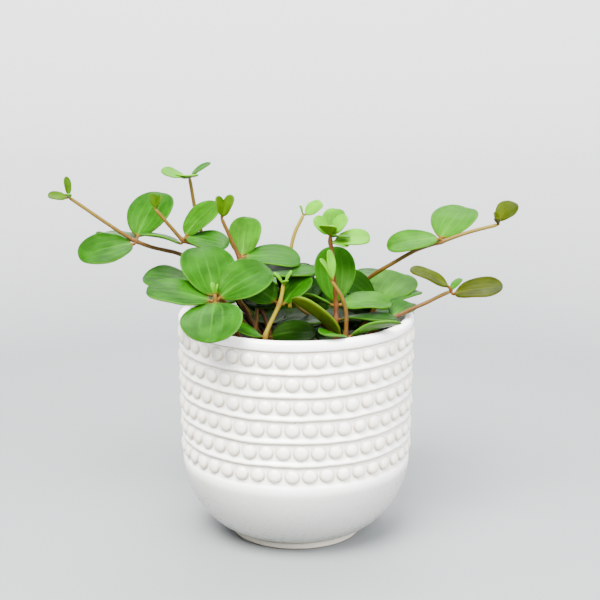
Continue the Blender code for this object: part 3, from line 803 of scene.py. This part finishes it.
def build_stems():
    """Smooth tubes on the CAD centrelines, with a knuckle at each node and a rounded end."""
    for name, stem in STEMS.items():
        line, _, distance = stem.fine(STEM_RING_STEP)
        rng = random.Random(name)
        shift = rng.uniform(0, 50)
        swell = np.clip(stem.radii[1:-1] / (0.5 * (stem.radii[:-2] + stem.radii[2:])) - 1, 0, 1)
        knuckles = [stem.distance[k + 1] for k in range(len(swell)) if swell[k] > KNUCKLE_SEEN]
        plain = np.interp(distance, [0, stem.length], [stem.radii[0], STEM_TAPER * stem.radii[0]])
        points, along_share, node_share = [], [], []
        side = Vector((1, 0, 0))
        last = len(line) - 1
        for k, centre in enumerate(line):
            heading = Vector(line[min(k + 1, last)] - line[max(k - 1, 0)]).normalized()
            side = (side - heading * side.dot(heading)).normalized()
            other = heading.cross(side)
            near = sum(math.exp(-(((distance[k] - d) / KNUCKLE_LENGTH) ** 2)) for d in knuckles)
            radius = float(plain[k]) * (1 + KNUCKLE_SWELL * min(near, 1.0))
            radius *= 1 + 0.06 * noise.noise(Vector((distance[k] * 160 + shift, 0, 0)))
            if k == last:
                radius *= 0.45
            elif k == last - 1:
                radius *= 0.85
            for s in range(STEM_SIDES):
                turn = 2 * math.pi * s / STEM_SIDES
                x, y = math.cos(turn), math.sin(turn)
                lump = 1 + 0.05 * noise.noise(Vector((3 * x, 3 * y, 120 * distance[k])))
                points.append(Vector(centre) + radius * lump * (x * side + y * other))
                along_share.append(distance[k] / stem.length)
                node_share.append(min(near, 1.0))
        data = {"along": along_share, "node": node_share}
        mat = stem_material(name, STEM_REDNESS.get(name, 0.5))
        made = add_mesh(f"living_stem_{name}", points, loft_faces(len(line), STEM_SIDES), mat, data)
        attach(made, "root")
        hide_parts(f"stem_{name}")


# --- cover pot ------------------------------------------------------------------------------------


def band_top(row):
    return RIM - LIP_HEIGHT - row * BAND_PITCH


BOWL_TOP = band_top(BEAD_ROWS)


def wall_radius(z):
    if z >= BOWL_TOP:
        return POT_RADIUS - BODY_TAPER * (RIM - z) / (RIM - BOWL_TOP)
    down = (BOWL_TOP - z) / (BOWL_TOP - FOOT_HEIGHT)
    spread = (1 - down**BOWL_ROUNDNESS) ** (1 / BOWL_ROUNDNESS)
    return BOWL_BASE_RADIUS + (POT_RADIUS - BODY_TAPER - BOWL_BASE_RADIUS) * spread


class PotMesh:
    """Points and faces, with each point's shares of pooled glaze with painted shade, of bead glaze
    with painted shade, and of bare clay.
    """

    def __init__(self):
        self.points, self.faces, self.pool, self.bead, self.bare = [], [], [], [], []

    def add(self, angle, radius, z, pool=0.0, bare=0.0, bead=0.0):
        self.points.append(self.by_hand(angle, radius, z))
        self.pool.append(pool)
        self.bead.append(bead)
        self.bare.append(bare)
        return len(self.points) - 1

    def by_hand(self, angle, radius, z):
        """The slight unevenness of a pot made by hand, on its beaded outside."""
        x, y = math.cos(angle), math.sin(angle)
        beaded = smoothstep(25 * MM, BOWL_TOP, z) * (1 - smoothstep(RIM - 8 * MM, RIM - 2 * MM, z))
        beaded *= smoothstep(POT_RADIUS - 4.5 * MM, POT_RADIUS - 3.5 * MM, radius)
        place = Vector((x, y, z / POT_RADIUS)) * 3.2
        radius += 0.22 * MM * beaded * noise.noise(place * 1.5)
        z += 0.42 * MM * beaded * noise.noise(place + Vector((5, 5, 5)))
        return radius * x, radius * y, z + 0.20 * MM * beaded * noise.noise(place * 4.5)

    def ring(self, radius, z, pool=0.0, bare=0.0):
        step = 2 * math.pi / COLUMNS
        return [
            self.add((k + CELL_SIDE * BEAD_PHASE) * step, radius, z, pool, bare)
            for k in range(COLUMNS)
        ]

    def bridge(self, first, second):
        count = len(first)
        for k in range(count):
            after = (k + 1) % count
            self.faces.append((first[k], first[after], second[after], second[k]))


def bead_height(share):
    """Height of a bead at a share of its radius from its middle: steep sides and a broad top."""
    if share >= 1:
        return 0.0
    return (1 - share**2.1) ** 0.56


def bead_cell(pot, angle, z, reach_up, reach_down, radius, rng):
    """One bead and the wall round it. The mesh runs in circles out to the cell's four sides."""
    half = math.pi / BEADS_PER_ROW
    size = BEAD_RADIUS * rng.uniform(0.97, 1.02)
    tall = BEAD_HEIGHT * rng.uniform(0.93, 1.05)
    shift_across, shift_up = rng.uniform(-0.12, 0.12) * MM, rng.uniform(-0.10, 0.10) * MM
    border = []
    for side in range(4):
        for k in range(CELL_SIDE):
            t = 2 * k / CELL_SIDE - 1
            border.append(((t, -1), (1, t), (-t, 1), (-1, -t))[side])
    loops = []

    def loop(points):
        """Points as across, up, out, share of pooled glaze with painted shade and share of bead
        glaze with painted shade.
        """
        loops.append([
            pot.add(angle + across / radius, radius + out, z + up, pool, bead=bead)
            for across, up, out, pool, bead in points
        ])

    # the cell's top edge, just under the ridge, gets pooled glaze that also paints the ridge's
    # shadow
    loop(
        (
            a * half * radius, b * (reach_up if b > 0 else reach_down), 0.0,
            0.4 if b == 1 else 0.0, 0.0,
        )
        for a, b in border
    )
    for share in BEAD_CIRCLES:
        outline = math.exp(-(((share - 0.98) / 0.12) ** 2))
        inside = 1 - smoothstep(0.9, 1.02, share)
        made = []
        for k in range(len(border)):
            turn = -0.75 * math.pi + k * 2 * math.pi / len(border)
            x, y = size * share * math.cos(turn), BEAD_FLATTENING * size * share * math.sin(turn)
            low = 0.5 - 0.5 * share * math.sin(turn)  # 1 at the bead's lowest point
            tall_here = tall * (0.78 + 0.44 * low)  # a bead bulges most below its middle
            # painted shade: the outline's pooled glaze and the bead glaze grow stronger towards the
            # bead's lowest point
            made.append((
                x + shift_across, y + shift_up, tall_here * bead_height(share),
                outline * (0.40 + 0.60 * low), inside * (0.25 + 0.75 * low),
            ))
        loop(made)
    for first, second in zip(loops, loops[1:]):
        pot.bridge(first, second)
    pot.faces.append(tuple(loops[-1]))


# Cross-sections of the ring under each row, and of the step from the last row to the bowl: height
# over the groove below it and reach from the wall's outside, in millimetres, with the share of
# pooled glaze, which also paints shade on the ridge's lower face and in the groove.
RIDGE = [
    (2.80, -1.10, 0.0), (2.40, -0.70, 0.0), (1.95, -0.30, 0.0), (1.50, -0.02, 0.05),
    (1.10, 0.08, 0.25), (0.70, -0.02, 0.55), (0.25, -0.32, 0.8), (-0.10, -0.85, 0.9),
    (-0.35, -1.40, 0.85),
]
BOWL_STEP = [(2.5, -1.05, 0.35), (1.9, -0.62, 0.1), (1.2, -0.22, 0.0), (0.5, -0.03, 0.0)]


def build_cover_pot():
    pot = PotMesh()
    rng = random.Random(7)
    inner = POT_RADIUS - POT_WALL
    floor = pot.ring(0.30 * inner, FLOOR_Z)
    pot.faces.append(tuple(floor))
    rings = [floor]
    for k in range(INSIDE_STEPS + 1):
        z = FLOOR_Z + (BOWL_TOP - FLOOR_Z) * (k / INSIDE_STEPS) ** 1.6
        rings.append(pot.ring(wall_radius(z) - POT_WALL, z))
    rings.append(pot.ring(inner, RIM - 14 * MM))
    rings.append(pot.ring(inner, RIM - 4 * MM))
    for k in range(1, LIP_STEPS):
        turn = math.pi * k / LIP_STEPS
        out = POT_RADIUS - 0.5 * POT_WALL - 0.5 * POT_WALL * math.cos(turn)
        z = RIM - LIP_ROUNDNESS * POT_WALL + LIP_ROUNDNESS * POT_WALL * math.sin(turn)
        rings.append(pot.ring(out, z))
    # from the lip in to the first groove: depth below the rim, way in (mm), share of pooled glaze
    # and painted shade
    for below, inwards, pool in ((3.1, 0.0, 0), (4.2, 0.08, 0), (4.75, 0.4, 0.2), (4.95, 0.9, 0.8)):
        rings.append(pot.ring(POT_RADIUS - inwards * MM, RIM - below * MM, pool))
    # the bottom of the first groove: pooled glaze and painted shade
    rings.append(pot.ring(wall_radius(band_top(0)) - 1.42 * MM, band_top(0) - 0.3 * MM, 1.0))
    for first, second in zip(rings, rings[1:]):
        pot.bridge(first, second)
    above = rings[-1]
    for row in range(BEAD_ROWS):
        top, bottom = band_top(row) - BAND_HEAD, band_top(row + 1) + BAND_FOOT
        middle = 0.5 * (top + bottom)
        recess = wall_radius(middle) - BAND_RECESS
        # the top of the recess, under the ridge, gets pooled glaze that also paints the ridge's
        # shadow
        head = pot.ring(recess, top, 0.5)
        pot.bridge(above, head)
        for k in range(BEADS_PER_ROW):
            angle = (k + BEAD_PHASE + 0.5 * (row % 2)) * 2 * math.pi / BEADS_PER_ROW
            bead_cell(pot, angle, middle, top - middle, middle - bottom, recess, rng)
        above = pot.ring(recess, bottom)
        for over, out, pool in BOWL_STEP if row == BEAD_ROWS - 1 else RIDGE:
            z = band_top(row + 1) + over * MM
            made = pot.ring(wall_radius(band_top(row + 1)) + out * MM, z, pool)
            pot.bridge(above, made)
            above = made
    for k in range(1, BOWL_STEPS + 1):
        z = BOWL_TOP - (BOWL_TOP - FOOT_HEIGHT) * math.sin(0.5 * math.pi * k / BOWL_STEPS)
        # pooled glaze and painted shade gather low on the bowl, where it meets the foot
        made = pot.ring(wall_radius(z), z, 0.35 * smoothstep(0.9, 1.0, k / BOWL_STEPS))
        pot.bridge(above, made)
        above = made
    foot = [  # radius, height, shares of pooled glaze with painted shade and of bare clay
        (FOOT_RADIUS - 1.3 * MM, 3.35 * MM, 0.8, 0.0),
        (FOOT_RADIUS - 0.45 * MM, 3.15 * MM, 0.5, 0.1),
        (FOOT_RADIUS - 0.08 * MM, 2.6 * MM, 0.1, 0.3), (FOOT_RADIUS, 1.8 * MM, 0.0, 0.5),
        (FOOT_RADIUS, 1.0 * MM, 0.0, 0.8), (FOOT_RADIUS - 0.12 * MM, 0.45 * MM, 0.0, 1.0),
        (FOOT_RADIUS - 0.45 * MM, 0.1 * MM, 0.0, 1.0), (FOOT_RADIUS - 1.0 * MM, 0.0, 0.0, 1.0),
        (0.3 * FOOT_RADIUS, 0.0, 0.0, 1.0),
    ]
    for radius, z, pool, bare in foot:
        made = pot.ring(radius, z, pool, bare)
        pot.bridge(above, made)
        above = made
    pot.faces.append(tuple(above))
    bowl = [  # painted shade, strongest low on the bowl
        (1 - smoothstep(BOWL_TOP - 5 * MM, BOWL_TOP + 1 * MM, z))
        * (1 - 0.28 * min(z / BOWL_TOP, 1.0))
        for _, _, z in pot.points
    ]
    data = {"pool": pot.pool, "bead": pot.bead, "bare": pot.bare, "bowl": bowl}
    made = add_mesh("beaded_cover_pot", pot.points, pot.faces, glaze_material(), data)
    tidy_mesh(made, 0.004 * MM)
    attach(made, "root")
    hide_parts("cover_pot")


# --- nursery pot and soil -------------------------------------------------------------------------


def build_nursery_pot():
    """The CAD solid keeps its shape. It gets worn black plastic."""
    mat = plastic_material()
    NODES["nursery_pot"].data.materials.clear()
    NODES["nursery_pot"].data.materials.append(mat)


def build_soil():
    low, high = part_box("potting_soil")
    rng = random.Random(11)
    radius = high.x
    rings, sides = 44, 132
    base_radius = 36.0 * MM
    points = []
    for r in range(rings):
        share = (r + 0.5) / rings
        for k in range(sides):
            turn = 2 * math.pi * (k + 0.5 * (r % 2)) / sides
            x, y = share * radius * math.cos(turn), share * radius * math.sin(turn)
            rough = noise.fractal(Vector((x, y, 0)) * 140, 0.8, 2.2, 4)
            crown = -2.0 * MM * smoothstep(0.8, 1.0, share)
            inside = 1 - smoothstep(0.94, 1.0, share)
            points.append((x, y, high.z - 0.4 * MM + crown + 1.3 * MM * rough * inside))
    for z in (high.z - 12 * MM, low.z):
        lower = base_radius + (radius - base_radius) * (z - low.z) / (high.z - low.z)
        for k in range(sides):
            turn = 2 * math.pi * (k + 0.5 * ((rings - 1) % 2)) / sides
            points.append((lower * math.cos(turn), lower * math.sin(turn), z))
    faces = loft_faces(rings + 2, sides)
    data = {"bark": [0.0] * len(points)}
    made = add_mesh("soil_surface", points, faces, soil_material(), data)
    tidy_mesh(made)
    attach(made, "root")
    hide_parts("potting_soil")

    for name, mat, count, sizes, brown in (
        ("soil_crumbs", soil_material(), 260, (0.6, 2.2), 0.7),
        ("soil_perlite", perlite_material(), 26, (0.7, 1.5), 0.0),
    ):
        lumps, lump_faces, bark = [], [], []
        for _ in range(count):
            where = radius * 0.96 * math.sqrt(rng.random())
            turn = rng.uniform(0, 2 * math.pi)
            middle = Vector((where * math.cos(turn), where * math.sin(turn), high.z - 0.3 * MM))
            if where > 0.8 * radius:
                middle.z -= 1.2 * MM
            size = rng.uniform(*sizes) * MM
            ball = bmesh.new()
            bmesh.ops.create_icosphere(ball, subdivisions=2, radius=size)
            seed = Vector((rng.uniform(0, 99), rng.uniform(0, 99), rng.uniform(0, 99)))
            squash = Vector((rng.uniform(0.6, 1.2), rng.uniform(0.6, 1.2), rng.uniform(0.45, 0.8)))
            first = len(lumps)
            for v in ball.verts:
                grown = v.co * (1 + 0.45 * noise.noise(v.co / size * 1.3 + seed))
                lumps.append(middle + Vector(a * b for a, b in zip(grown, squash)))
                bark.append(brown * (seed.x > 66))  # one crumb in three is bark
            lump_faces += [tuple(first + v.index for v in f.verts) for f in ball.faces]
            ball.free()
        made = add_mesh(name, lumps, lump_faces, mat, {"bark": bark})
        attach(made, "root")


# --- studio ---------------------------------------------------------------------------------------

FLOOR_REACH = 8.0
FLOOR_DROP = 0.0002  # the floor lies this far under the foot
SWEEP_START = 1.2  # where the floor begins to curve up into a wall, far behind the plant
SWEEP_RADIUS = 0.8
SWEEP_STEPS = 24
WALL_TOP = 2.6


def build_studio():
    n = Nodes("studio floor")
    reach = n.add("ShaderNodeVectorMath", operation="LENGTH")
    n.link(n.position(), reach.inputs[0])
    away = n.ramp(n.maths("DIVIDE", reach.outputs["Value"], 2.5), [(0.15, 0.0), (0.8, 1.0)])
    tone = n.mix(away, (0.175, 0.183, 0.188), (0.86, 0.87, 0.88))
    floor_mat = n.set(Base_Color=tone, Roughness=0.62)
    outline = [(-FLOOR_REACH, 0.0), (SWEEP_START, 0.0)]
    for k in range(1, SWEEP_STEPS + 1):
        turn = 0.5 * math.pi * k / SWEEP_STEPS
        back = SWEEP_START + SWEEP_RADIUS * math.sin(turn)
        outline.append((back, SWEEP_RADIUS - SWEEP_RADIUS * math.cos(turn)))
    outline.append((SWEEP_START + SWEEP_RADIUS, WALL_TOP))
    points = [(x, y, z - FLOOR_DROP) for y, z in outline for x in (-FLOOR_REACH, FLOOR_REACH)]
    faces = [(2 * k, 2 * k + 1, 2 * k + 3, 2 * k + 2) for k in range(len(outline) - 1)]
    add_mesh("studio_floor", points, faces, floor_mat)

    world = bpy.data.worlds.new("studio")
    world.use_nodes = True
    background = world.node_tree.nodes["Background"]
    background.inputs["Color"].default_value = (0.93, 0.96, 1.0, 1.0)
    background.inputs["Strength"].default_value = 1.02
    bpy.context.scene.world = world

    for name, place, aim, size, power, colour in (
        ("key", (-0.34, -0.80, 1.32), (0, 0, 0.1), 0.9, 174.0, (1.0, 0.985, 0.95)),
        ("fill", (0.85, -0.95, 0.85), (0, 0, 0.1), 1.0, 64.0, (0.97, 0.985, 1.0)),
        ("top", (0.1, 0.55, 1.35), (0, 0, 0.12), 0.9, 42.0, (1.0, 1.0, 1.0)),
    ):
        light = bpy.data.lights.new(name, "AREA")
        light.size = size
        light.energy = power
        light.color = colour
        lamp = bpy.data.objects.new(name, light)
        lamp.location = place
        lamp.rotation_euler = (Vector(aim) - Vector(place)).to_track_quat("-Z", "Y").to_euler()
        bpy.context.scene.collection.objects.link(lamp)


def build_camera():
    """Looks slightly down on the plant from the front, with a long lens."""
    lens = bpy.data.cameras.new("camera")
    lens.lens = 96.0
    lens.sensor_width = 36.0
    camera = bpy.data.objects.new("camera", lens)
    camera.location = (0.002, -0.790, 0.318)
    aim = Vector((0.002, 0.0, 0.1219))
    camera.rotation_euler = (aim - camera.location).to_track_quat("-Z", "Y").to_euler()
    bpy.context.scene.collection.objects.link(camera)
    bpy.context.scene.camera = camera


LEAF_MATERIALS = {tone: leaf_material(tone) for tone in TONES}

build_camera()
build_studio()
build_cover_pot()
build_nursery_pot()
build_soil()
build_stems()
build_cad_leaves()
build_extra_leaves()
